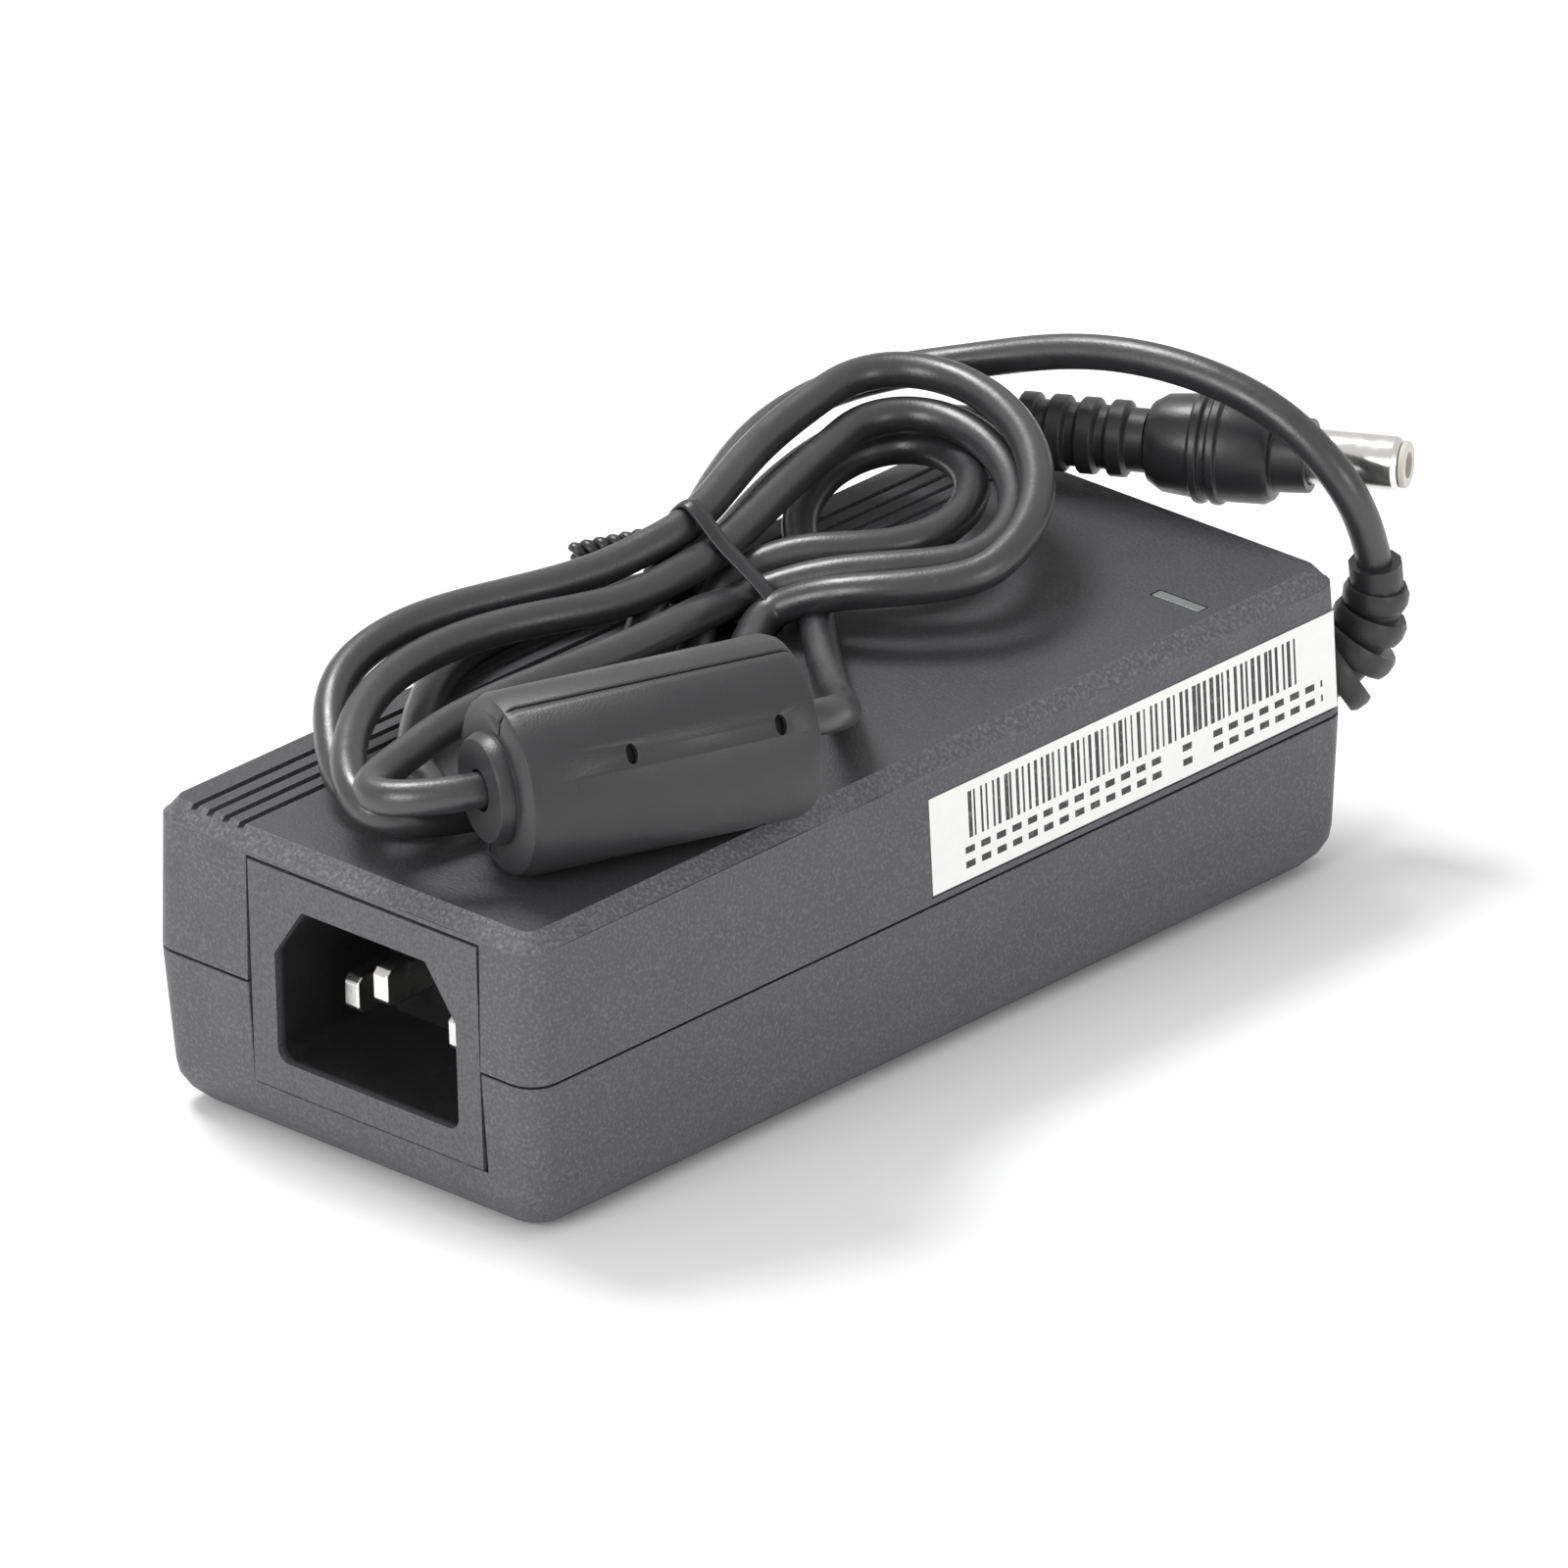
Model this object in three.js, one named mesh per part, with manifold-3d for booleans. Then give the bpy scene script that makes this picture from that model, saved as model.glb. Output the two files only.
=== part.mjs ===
// Laptop power adapter: a two-shell case with a mains inlet at one end, its circuit board and parts,
// and a tied direct-current cord that carries a ferrite sleeve and a barrel plug.
// Millimetres. +Z is up, the case lies along Y with the inlet facing -Y, and z = 0 is its underside.
import * as THREE from 'three';
import { mergeGeometries, mergeVertices } from 'three/addons/utils/BufferGeometryUtils.js';
import Module from 'manifold-3d';

const wasm = await Module();
wasm.setup();

// ---------------------------------------------------------------- driving dimensions
const CASE = { width: 52, length: 115, height: 32.4, wall: 2.2, corner: 3.0 };
const PARTING = { z: 16.8, gap: 0.3, lip: 1.6, lipWall: 1.0 };
const UPPER = { draft: 0.38, chamferBase: 30.66, chamfer: 1.65, step: 0.15 };
const LOWER = { draft: 0.62, edge: 4.6 };
const INLET = { x: 3.1, z: 18.1, width: 30.8, height: 23.6, plate: 2.0, body: [27.6, 21.0], depth: 20, gap: 0.3 };
const CAVITY = { x: 3.18, z: 17.85, width: 24.4, height: 16.9, slope: 5.4, round: 1.4, depth: 15.6 };
const BLADE = { width: 2, height: 4, spread: 7, low: 16.2, high: 20.2, lineTip: -52.2, earthTip: -55.2 };
const GROOVES = { count: 4, first: -20.8, pitch: 2.1, width: 0.8, depth: 0.5 };
const LAMP = { x: 19.2, y: 40.5, length: 6.2, width: 1.3 };
const LABEL = { from: -2, to: 55.6, bottom: 17.8, top: 28.0, thick: 0.12, pocket: 0.18 };
const RATING = { width: 36, length: 84, depth: 0.3, thick: 0.14 };
const BOARD = { width: 45, back: 53, front: -35, bottom: 5.4, thick: 1.6 };
const RELIEF = { base: 4.6, tip: 3.1, rib: 1.0, ribs: 4 };
const CORD = { diameter: 3.6, sides: 8, gap: 0.3 };
const FERRITE = { start: [12.3, -47.8, 41.6], yaw: 21.5, length: 31, radius: 9.1, boss: 5.6, bossLength: 1.6 };
const CORE = { radius: 7.2, bore: 2.9, length: 25 };
const PLUG = { start: [-13.7, 52.7, 37.0], yaw: 62.1 };
const TIE = { y: 8, thick: 1.0, width: 1.6, low: 32.55, high: 44.4, left: -22.6, right: 0.4,
  reach: 26 };

// Centre line of the cord where it is not bundled, as points chosen by hand.
const LEAD_ROUTE = [[22.3, 65.1, 29.8], [22.6, 63.6, 33.6], [21.9, 61.8, 38.2], [17.8, 60.6, 42.6],
  [12.4, 59.4, 45.6], [4.0, 57.4, 47.4], [-5.4, 55.4, 47.0], [-12.6, 53.6, 45.0], [-17.8, 50.0, 42.6]];
const LOOP_ROUTE = [[-7.6, -40.6, 38.6], [-4.8, -45.6, 38.8], [-2.0, -49.6, 39.0], [1.2, -53.4, 39.6],
  [5.6, -54.4, 40.6], [9.2, -52.4, 41.4], [11.5, -50.1, 41.6]];
const TAIL_ROUTE = [[23.8, -18.6, 41.6], [25.0, -15.2, 41.4], [25.0, -11.0, 40.6], [21.6, -7.4, 38.4],
  [16.6, -4.0, 36.2], [10.4, 0.0, 34.6], [4.6, 4.4, 34.3]];
const END_ROUTE = [[-24.5, 40.0, 37.3], [-24.3, 43.6, 37.2], [-22.9, 46.9, 37.2], [-20.4, 49.1, 37.1],
  [-17.0, 51.0, 37.0], [-14.0, 52.55, 37.0]];

// ---------------------------------------------------------------- materials
function plastic(color, roughness) {
  return new THREE.MeshStandardMaterial({ color, roughness, metalness: 0 });
}

function metal(color, roughness) {
  return new THREE.MeshStandardMaterial({ color, roughness, metalness: 1 });
}

const SHELL = plastic(0x3c3d40, 0.6);
const BLACK = plastic(0x242527, 0.5);
const RUBBER = plastic(0x2e2f31, 0.7);
const NICKEL = metal(0xd8dadd, 0.2);
const COPPER = metal(0xb4703c, 0.4);
const TIN = metal(0xb9bcc0, 0.35);
const FERRITE_GREY = plastic(0x3a3a3c, 0.85);
const PAPER = plastic(0xf2f2f0, 0.5);
const CLEAR = plastic(0xc9d4cc, 0.15);
const FIBREGLASS = plastic(0x2f6b3a, 0.5);
const YELLOW = plastic(0xd9b43a, 0.55);
const BLUE = plastic(0x2f5fa8, 0.45);
const ALUMINIUM = metal(0xaeb2b6, 0.45);

// ---------------------------------------------------------------- helpers
const adapter = new THREE.Group();

function piece(name, geometry, material) {
  const mesh = new THREE.Mesh(geometry, material);
  mesh.name = name;
  adapter.add(mesh);
  return mesh;
}

function solid(geometry) {
  const bare = geometry.clone();
  bare.deleteAttribute('normal');
  bare.deleteAttribute('uv');
  const merged = mergeVertices(bare, 1e-4);
  const mesh = new wasm.Mesh({
    numProp: 3,
    vertProperties: new Float32Array(merged.attributes.position.array),
    triVerts: new Uint32Array(merged.index.array),
  });
  return new wasm.Manifold(mesh);
}

function shape(manifold) {
  const mesh = manifold.getMesh();
  const geometry = new THREE.BufferGeometry();
  geometry.setAttribute('position', new THREE.BufferAttribute(mesh.vertProperties, 3));
  geometry.setIndex(new THREE.BufferAttribute(mesh.triVerts, 1));
  geometry.computeVertexNormals();
  return geometry;
}

function joined(...geometries) {
  return shape(geometries.map(solid).reduce((whole, part) => whole.add(part)));
}

function cut(body, ...tools) {
  return shape(tools.map(solid).reduce((whole, tool) => whole.subtract(tool), solid(body)));
}

function block(sizeX, sizeY, sizeZ, x, y, z) {
  return new THREE.BoxGeometry(sizeX, sizeY, sizeZ).translate(x, y, z);
}

function rod(radius, length, sides = 20) {
  return new THREE.CylinderGeometry(radius, radius, length, sides);
}

// Revolves [radius, height] points about Z; the profile starts and ends on the axis or closes on itself.
function turned(profile, sides = 28) {
  const points = profile.map(([radius, height]) => new THREE.Vector2(radius, height));
  return new THREE.LatheGeometry(points, sides).rotateX(Math.PI / 2);
}

// Turns a piece made along +Z so that it lies level, pointing `yaw` degrees clockwise from +Y.
function laid(geometry, [x, y, z], yaw) {
  geometry.rotateX(-Math.PI / 2);
  geometry.rotateZ(-THREE.MathUtils.degToRad(yaw));
  return geometry.translate(x, y, z);
}

function roundedRectangle(width, height, radius) {
  const outline = new THREE.Shape();
  const x = width / 2 - radius;
  const y = height / 2 - radius;
  outline.absarc(x, y, radius, 0, Math.PI / 2);
  outline.absarc(-x, y, radius, Math.PI / 2, Math.PI);
  outline.absarc(-x, -y, radius, Math.PI, Math.PI * 1.5);
  outline.absarc(x, -y, radius, Math.PI * 1.5, Math.PI * 2);
  return outline;
}

function extruded(outline, depth, curveSegments = 4) {
  return new THREE.ExtrudeGeometry(outline, { depth, bevelEnabled: false, curveSegments });
}

// A closed body through level rounded rectangles, listed from the bottom up as { inset, z, corner }.
function lofted(rings, halfWidth, halfLength, steps = 5) {
  const perRing = 4 * (steps + 1);
  const positions = [];
  for (const ring of rings) {
    const corner = ring.corner ?? CASE.corner;
    const x = halfWidth - ring.inset - corner;
    const y = halfLength - ring.inset - corner;
    const centres = [[x, y], [-x, y], [-x, -y], [x, -y]];
    for (let quarter = 0; quarter < 4; quarter += 1) {
      for (let step = 0; step <= steps; step += 1) {
        const angle = (quarter + step / steps) * Math.PI / 2;
        const [cx, cy] = centres[quarter];
        positions.push(cx + corner * Math.cos(angle), cy + corner * Math.sin(angle), ring.z);
      }
    }
  }
  positions.push(0, 0, rings[0].z, 0, 0, rings.at(-1).z);
  const bottom = rings.length * perRing;
  const top = bottom + 1;
  const lastRing = (rings.length - 1) * perRing;
  const faces = [];
  for (let i = 0; i < perRing; i += 1) {
    const next = (i + 1) % perRing;
    faces.push(bottom, next, i, top, lastRing + i, lastRing + next);
    for (let ring = 0; ring < rings.length - 1; ring += 1) {
      const a = ring * perRing + i;
      const b = ring * perRing + next;
      faces.push(a, b, a + perRing, b, b + perRing, a + perRing);
    }
  }
  const geometry = new THREE.BufferGeometry();
  geometry.setAttribute('position', new THREE.Float32BufferAttribute(positions, 3));
  geometry.setIndex(faces);
  return geometry;
}

function curveThrough(points) {
  return new THREE.CatmullRomCurve3(points.map((point) => new THREE.Vector3(...point)), false, 'centripetal');
}

function tube(points, diameter, steps, sides = CORD.sides) {
  const outline = new THREE.Shape();
  outline.absarc(0, 0, diameter / 2, 0, Math.PI * 2);
  const extrudePath = curveThrough(points);
  return new THREE.ExtrudeGeometry(outline, { extrudePath, steps, curveSegments: sides, bevelEnabled: false });
}

// ---------------------------------------------------------------- case
const HALF_WIDTH = CASE.width / 2;
const HALF_LENGTH = CASE.length / 2;

function wallInset(z) {
  if (z >= PARTING.z) {
    return UPPER.draft * (z - PARTING.z) / (UPPER.chamferBase - PARTING.z);
  }
  return LOWER.draft * (PARTING.z - z) / PARTING.z;
}

function inletOpening() {
  const width = INLET.width + 2 * INLET.gap;
  const height = INLET.height + 2 * INLET.gap;
  return block(width, 3 * CASE.wall, height, INLET.x, -HALF_LENGTH, INLET.z);
}

function reliefHole() {
  const hole = rod(3.3, 3 * CASE.wall, 24);
  return hole.translate(RELIEF_ROUTE[0][0], HALF_LENGTH, RELIEF_ROUTE[0][2]);
}

function lowerShell() {
  const rings = [];
  const edgeSteps = 5;
  for (let step = 0; step <= edgeSteps; step += 1) {
    const angle = (step / edgeSteps) * Math.PI / 2;
    const z = LOWER.edge * (1 - Math.cos(angle));
    rings.push({ z, inset: LOWER.draft + LOWER.edge * (1 - Math.sin(angle)), corner: CASE.corner });
  }
  const top = PARTING.z - PARTING.gap / 2;
  rings.push({ z: top, inset: wallInset(top) });
  const outer = solid(lofted(rings, HALF_WIDTH, HALF_LENGTH));
  const inner = [
    { z: CASE.wall, inset: CASE.wall + 2.4, corner: 1.6 },
    { z: CASE.wall + 2.4, inset: CASE.wall + LOWER.draft, corner: 1.6 },
    { z: PARTING.z + 5, inset: CASE.wall, corner: 1.6 },
  ];
  const cavity = solid(lofted(inner, HALF_WIDTH, HALF_LENGTH));
  const lipTop = PARTING.z + PARTING.lip;
  const lipOutset = CASE.wall - PARTING.lipWall;
  const lip = solid(lofted([{ z: PARTING.z - 3, inset: lipOutset, corner: 2 },
    { z: lipTop, inset: lipOutset, corner: 2 }], HALF_WIDTH, HALF_LENGTH));
  const pocket = solid(block(RATING.width, RATING.length, 2 * RATING.depth, 0, 0, 0));
  const opening = solid(inletOpening());
  const shell = outer.add(lip).subtract(cavity).subtract(opening).subtract(solid(reliefHole()));
  return shape(shell.subtract(pocket));
}

function upperShell() {
  const bottom = PARTING.z + PARTING.gap / 2;
  const rings = [
    { z: bottom, inset: wallInset(bottom) },
    { z: UPPER.chamferBase, inset: UPPER.draft },
    { z: UPPER.chamferBase + 0.02, inset: UPPER.draft + UPPER.step, corner: CASE.corner - UPPER.step },
    { z: CASE.height, inset: UPPER.draft + UPPER.chamfer, corner: CASE.corner - UPPER.chamfer },
  ];
  const outer = solid(lofted(rings, HALF_WIDTH, HALF_LENGTH));
  const ceiling = CASE.height - CASE.wall;
  const cavity = solid(lofted([{ z: PARTING.z - 1, inset: CASE.wall, corner: 1.6 },
    { z: ceiling - 0.5, inset: CASE.wall + UPPER.draft, corner: 1.6 },
    { z: ceiling, inset: CASE.wall + UPPER.draft + 0.5, corner: 1.6 }], HALF_WIDTH, HALF_LENGTH));
  const rebate = solid(lofted([{ z: PARTING.z - 1, inset: CASE.wall - PARTING.lipWall - 0.1, corner: 2 },
    { z: PARTING.z + PARTING.lip + 0.2, inset: CASE.wall - PARTING.lipWall - 0.1, corner: 2 }],
  HALF_WIDTH, HALF_LENGTH));
  let shell = outer.subtract(cavity).subtract(rebate).subtract(solid(inletOpening()));
  shell = shell.subtract(solid(reliefHole()));
  for (let i = 0; i < GROOVES.count; i += 1) {
    const x = GROOVES.first + i * GROOVES.pitch;
    shell = shell.subtract(solid(block(GROOVES.width, CASE.length, 2 * GROOVES.depth, x, 0, CASE.height)));
  }
  const slot = block(LAMP.length + 0.4, LAMP.width + 0.4, 3 * CASE.wall, LAMP.x, LAMP.y, CASE.height);
  shell = shell.subtract(solid(slot)).subtract(solid(labelBlock(LABEL.pocket, 0.2, 1)));
  return shape(shell);
}

// The label's block on the drafted +X wall: `depth` into the wall, `margin` around it, `proud` outside.
function labelBlock(depth, margin, proud) {
  const middle = (LABEL.bottom + LABEL.top) / 2;
  const thickness = depth + proud;
  const lean = Math.atan(UPPER.draft / (UPPER.chamferBase - PARTING.z));
  const sheet = new THREE.BoxGeometry(thickness, LABEL.to - LABEL.from + 2 * margin,
    LABEL.top - LABEL.bottom + 2 * margin);
  sheet.rotateY(-lean);
  const x = HALF_WIDTH - wallInset(middle) - depth + thickness / 2;
  return sheet.translate(x, (LABEL.from + LABEL.to) / 2, middle);
}

// ---------------------------------------------------------------- inlet
function cavityOutline() {
  const left = -CAVITY.width / 2;
  const right = CAVITY.width / 2;
  const low = -CAVITY.height / 2;
  const high = CAVITY.height / 2;
  const outline = new THREE.Shape();
  outline.moveTo(left, low + CAVITY.round);
  outline.lineTo(left, high - CAVITY.slope);
  outline.lineTo(left + CAVITY.slope * 0.72, high);
  outline.lineTo(right - CAVITY.slope * 0.72, high);
  outline.lineTo(right, high - CAVITY.slope);
  outline.lineTo(right, low + CAVITY.round);
  outline.absarc(right - CAVITY.round, low + CAVITY.round, CAVITY.round, 0, -Math.PI / 2, true);
  outline.absarc(left + CAVITY.round, low + CAVITY.round, CAVITY.round, -Math.PI / 2, -Math.PI, true);
  return outline;
}

function bladePositions() {
  return {
    line_pin: { x: CAVITY.x - BLADE.spread, z: BLADE.low, tip: BLADE.lineTip },
    neutral_pin: { x: CAVITY.x + BLADE.spread, z: BLADE.low, tip: BLADE.lineTip },
    earth_pin: { x: CAVITY.x, z: BLADE.high, tip: BLADE.earthTip },
  };
}

function inletHousing() {
  const front = -HALF_LENGTH + 0.25;
  const plate = block(INLET.width, INLET.plate, INLET.height, INLET.x, front + INLET.plate / 2, INLET.z);
  const [bodyWidth, bodyHeight] = INLET.body;
  const body = block(bodyWidth, INLET.depth, bodyHeight, INLET.x, front + INLET.depth / 2, INLET.z);
  const cavity = extruded(cavityOutline(), CAVITY.depth + 1);
  cavity.rotateX(Math.PI / 2).translate(CAVITY.x, front + CAVITY.depth, CAVITY.z);
  const holes = Object.values(bladePositions()).map(
    ({ x, z }) => block(BLADE.width + 0.2, 2 * INLET.depth, BLADE.height + 0.2, x, front + INLET.depth, z),
  );
  return cut(joined(plate, body), cavity, ...holes);
}

function blade({ x, z, tip }) {
  const back = -HALF_LENGTH + INLET.depth + 4.2;
  const outline = new THREE.Shape();
  const half = BLADE.height / 2;
  const nose = 0.7;
  outline.moveTo(0, -half + nose);
  outline.lineTo(nose, -half);
  outline.lineTo(back - tip, -half);
  outline.lineTo(back - tip, half);
  outline.lineTo(nose, half);
  outline.lineTo(0, half - nose);
  const strip = extruded(outline, BLADE.width);
  strip.rotateX(Math.PI / 2).rotateZ(Math.PI / 2);
  return strip.translate(x - BLADE.width / 2, tip, z);
}

// ---------------------------------------------------------------- circuit
const BOARD_TOP = BOARD.bottom + BOARD.thick;
const BOARD_MIDDLE = (BOARD.front + BOARD.back) / 2;

function onBoard(height, gap = 0.1) {
  return BOARD_TOP + gap + height / 2;
}

function circuitBoard() {
  const board = block(BOARD.width, BOARD.back - BOARD.front, BOARD.thick, 0, BOARD_MIDDLE,
    BOARD.bottom + BOARD.thick / 2);
  const slots = [block(1.4, 30, 6, -2, 6, BOARD.bottom), block(1.2, 14, 6, 9, 16, BOARD.bottom)];
  return cut(board, ...slots);
}

function can(radius, length) {
  const profile = [[0, 0], [radius - 0.5, 0], [radius, 0.5], [radius, length - 3], [radius - 0.5, length - 2.4],
    [radius, length - 1.8], [radius, length - 0.5], [radius - 0.5, length], [0, length]];
  return turned(profile, 24);
}

function dippedDisc(radius, thickness) {
  const edge = thickness / 3;
  return turned([[0, 0], [radius - edge, 0], [radius, edge], [radius, thickness - edge],
    [radius - edge, thickness], [0, thickness]], 20);
}

function framedCore(width, length, height, window) {
  const core = block(width, length, height, 0, 0, 0);
  const sideX = width / 4;
  const hole = [window, length - 8, height + 1];
  return cut(core, block(...hole, sideX, 0, 0), block(...hole, -sideX, 0, 0));
}

function windingAround(width, length, height, legWidth, legHeight) {
  return cut(block(width, length, height, 0, 0, 0), block(legWidth, length + 1, legHeight, 0, 0, 0));
}

function transistor(x, y) {
  const body = block(10, 4.5, 9, x, y, onBoard(9) + 2);
  const tab = block(10, 1.3, 15, x, y - 1.6, onBoard(9) + 5);
  const legs = [-2.5, 0, 2.5].map((step) => block(0.8, 0.6, 6, x + step, y, onBoard(6)));
  return joined(body, tab, ...legs);
}

function finnedSink(length, x, y) {
  const plate = block(1.6, length, 18, x, y, onBoard(18));
  const fins = [-1, 0, 1].map((row) => block(3.6, length, 1, x, y, onBoard(18) + 3 + row * 5.4));
  return joined(plate, ...fins);
}

// A short wire inside the case, from a pin or the cord down to the board.
function wire(from, to) {
  const bend = [from[0], (from[1] + to[1]) / 2, from[2]];
  return tube([from, bend, [to[0], to[1], (from[2] + to[2]) / 2], to], 1.5, 8, 6);
}

function buildWires() {
  for (const [name, { x, z }] of Object.entries(bladePositions())) {
    const from = [x, -HALF_LENGTH + INLET.depth + 4.5, z];
    piece(name.replace('pin', 'wire'), wire(from, [x, -31.6, BOARD_TOP + 0.2]), RUBBER);
  }
  for (const [name, side] of [['output_wire_positive', 1], ['output_wire_negative', -1]]) {
    const from = [RELIEF_ROUTE[0][0] + side, HALF_LENGTH - CASE.wall - 2.2, RELIEF_ROUTE[0][2]];
    piece(name, wire(from, [from[0] + side, 50, BOARD_TOP + 0.2]), RUBBER);
  }
}

function buildCircuit() {
  piece('circuit_board', circuitBoard(), FIBREGLASS);
  piece('mains_fuse', laid(can(2.6, 12), [-17.5, -33, onBoard(5.2)], 0), BLACK);
  piece('x_capacitor', block(7, 15, 13, 17.5, -24, onBoard(13)), YELLOW);
  const chokeZ = onBoard(15);
  piece('choke_core', framedCore(18, 18, 4, 5).translate(4, -21.5, chokeZ), FERRITE_GREY);
  piece('choke_winding', windingAround(7.4, 8.6, 14, 4.4, 4.4).translate(4, -21.5, chokeZ), COPPER);
  piece('y_capacitor', laid(dippedDisc(3.6, 3), [-17.2, -15.6, onBoard(7.2)], 90), BLUE);
  piece('bridge_rectifier', block(15, 3.6, 11, -12, -9.2, onBoard(11) + 1), BLACK);
  piece('bulk_capacitor', laid(can(8.4, 28), [12.5, -10.8, onBoard(16.8)], 0), BLACK);
  piece('switching_transistor', transistor(-9, 3), BLACK);
  piece('primary_heat_sink', finnedSink(38, -19.5, 15), ALUMINIUM);
  const coreZ = onBoard(18);
  piece('transformer_core', framedCore(26, 24, 8, 6.4).translate(-4.5, 30.6, coreZ), FERRITE_GREY);
  piece('transformer_winding', windingAround(12, 14.6, 17, 6.9, 8.4).translate(-4.5, 30.6, coreZ), YELLOW);
  piece('optocoupler', block(6.4, 4.6, 3.6, 14, 22, onBoard(3.6)), BLACK);
  piece('control_chip', block(5, 4, 1.5, 14, 28.4, onBoard(1.5)), BLACK);
  piece('output_rectifier', transistor(-12, 47), BLACK);
  piece('secondary_heat_sink', block(1.6, 14, 19, -19.5, 43.5, onBoard(19)), ALUMINIUM);
  piece('output_capacitor_left', can(4.2, 18).translate(-1.6, 48, BOARD_TOP + 0.1), BLACK);
  piece('output_capacitor_right', can(4.2, 18).translate(7.4, 48, BOARD_TOP + 0.1), BLACK);
  const ring = turned([[2.2, -2.5], [5.2, -2.5], [5.2, 2.5], [2.2, 2.5], [2.2, -2.5]], 24);
  piece('output_choke', laid(ring, [11.4, 37.2, onBoard(10.4)], 90), COPPER);
  const lamp = turned([[0, 0], [1.5, 0], [1.5, 3.4], [1.1, 4.5], [0, 4.9]], 16);
  piece('indicator_lamp', lamp.translate(LAMP.x, LAMP.y, BOARD_TOP + 0.1), CLEAR);
}

function lightPipe() {
  const windowTop = block(LAMP.length, LAMP.width, CASE.wall + 0.6, LAMP.x, LAMP.y,
    CASE.height - (CASE.wall + 0.6) / 2);
  const flange = block(LAMP.length + 1.4, LAMP.width + 2, 1, LAMP.x, LAMP.y, CASE.height - CASE.wall - 0.8);
  const bottom = BOARD_TOP + 5.6;
  const stem = block(2.4, LAMP.width, 17, LAMP.x, LAMP.y, bottom + 8.5);
  return joined(windowTop, flange, stem);
}

function insulationSheet() {
  const width = BOARD.width + 1.2;
  const length = BOARD.back - BOARD.front + 1;
  const floor = block(width, length, 0.5, 0, BOARD_MIDDLE, BOARD.bottom - 0.5);
  const sides = [-1, 1].map((side) => block(0.4, length, 9, side * (width / 2 - 0.2), BOARD_MIDDLE,
    BOARD.bottom - 0.75 + 4.5));
  return joined(floor, ...sides);
}

// ---------------------------------------------------------------- cord and what is on it
const RELIEF_ROUTE = [[18.2, 56.2, 16.4], [18.4, 59.8, 16.6], [20.0, 63.0, 18.4], [21.4, 65.0, 22.0],
  [22.1, 65.6, 25.6], [22.3, 65.3, 28.9]];

function strainRelief() {
  const path = curveThrough(RELIEF_ROUTE);
  const parts = [tube(RELIEF_ROUTE, 2 * RELIEF.tip - 0.8, 14, 6)];
  const axis = new THREE.Vector3(0, 0, 1);
  for (let i = 0; i < RELIEF.ribs; i += 1) {
    const along = 0.34 + 0.155 * i;
    const radius = THREE.MathUtils.lerp(RELIEF.base, RELIEF.tip, i / (RELIEF.ribs - 1)) + 0.2;
    const rib = turned([[0, -1.2], [radius - 0.3, -1.2], [radius, -0.6], [radius, 0.6], [radius - 0.3, 1.2],
      [0, 1.2]], 14);
    rib.applyQuaternion(new THREE.Quaternion().setFromUnitVectors(axis, path.getTangentAt(along)));
    const point = path.getPointAt(along);
    parts.push(rib.translate(point.x, point.y, point.z));
  }
  const [x, , z] = RELIEF_ROUTE[0];
  const flange = turned([[0, 0], [4.7, 0], [4.7, 1.1], [0, 1.1]], 24);
  parts.push(laid(flange, [x, HALF_LENGTH + 0.35, z], 0));
  const inside = turned([[0, 0], [4.2, 0], [4.2, 1.3], [0, 1.3]], 24);
  parts.push(laid(inside, [x, HALF_LENGTH - CASE.wall - 1.9, z], 0));
  const neck = turned([[0, 0], [3.0, 0], [3.0, 4.6], [0, 4.6]], 24);
  parts.push(laid(neck, [x, HALF_LENGTH - CASE.wall - 1.8, z], 0));
  return joined(...parts);
}

// The tied bundle's outer shape: a lobe of turns at each end and a waist inside the tie.
function bundleLobe(x, y, long, wide, turn, bottom, top) {
  const outline = new THREE.Shape();
  outline.absellipse(x, y, long, wide, 0, Math.PI * 2, false, turn);
  return extruded(outline, top - bottom, 30).translate(0, 0, bottom);
}

function cordBundle() {
  const degrees = THREE.MathUtils.degToRad;
  const rearLobe = bundleLobe(-7.4, 30.6, 23, 16.4, degrees(144), 32.8, 46.9);
  const frontLobe = bundleLobe(-13.2, -23.2, 27.2, 12.6, degrees(104), 32.8, 42.4);
  const waistWidth = TIE.right - TIE.left - 2 * TIE.thick - 0.8;
  const middle = (TIE.right + TIE.left) / 2;
  const low = TIE.low + TIE.thick + 0.3;
  const waistHeight = TIE.high - TIE.thick - 0.3 - low;
  const waist = extruded(roundedRectangle(waistWidth, waistHeight, 3.4), TIE.reach, 6).rotateX(Math.PI / 2);
  waist.translate(middle, TIE.y + TIE.reach / 2, low + waistHeight / 2);
  return joined(rearLobe, frontLobe, waist);
}

function ferriteCover() {
  const { length, radius, boss, bossLength } = FERRITE;
  const holeRadius = CORD.diameter / 2 + CORD.gap;
  const wall = (length - CORE.length) / 2 - 0.3;
  const inner = CORE.radius + 0.3;
  const profile = [[holeRadius, -bossLength], [boss - 0.5, -bossLength], [boss, 0.1 - bossLength / 2], [boss, 0],
    [radius - 1.4, 0], [radius - 0.4, 0.4], [radius, 1.4], [radius, length - 1.4], [radius - 0.4, length - 0.4],
    [radius - 1.4, length], [boss, length], [boss, length + 0.8], [holeRadius, length + 0.8],
    [holeRadius, length - wall], [inner, length - wall], [inner, wall], [holeRadius, wall],
    [holeRadius, -bossLength]];
  return laid(turned(profile, 36), FERRITE.start, FERRITE.yaw);
}

function ferriteCore() {
  const low = (FERRITE.length - CORE.length) / 2;
  const high = low + CORE.length;
  const profile = [[CORE.bore, low], [CORE.radius, low], [CORE.radius, high], [CORE.bore, high], [CORE.bore, low]];
  return laid(turned(profile, 28), FERRITE.start, FERRITE.yaw);
}

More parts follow.
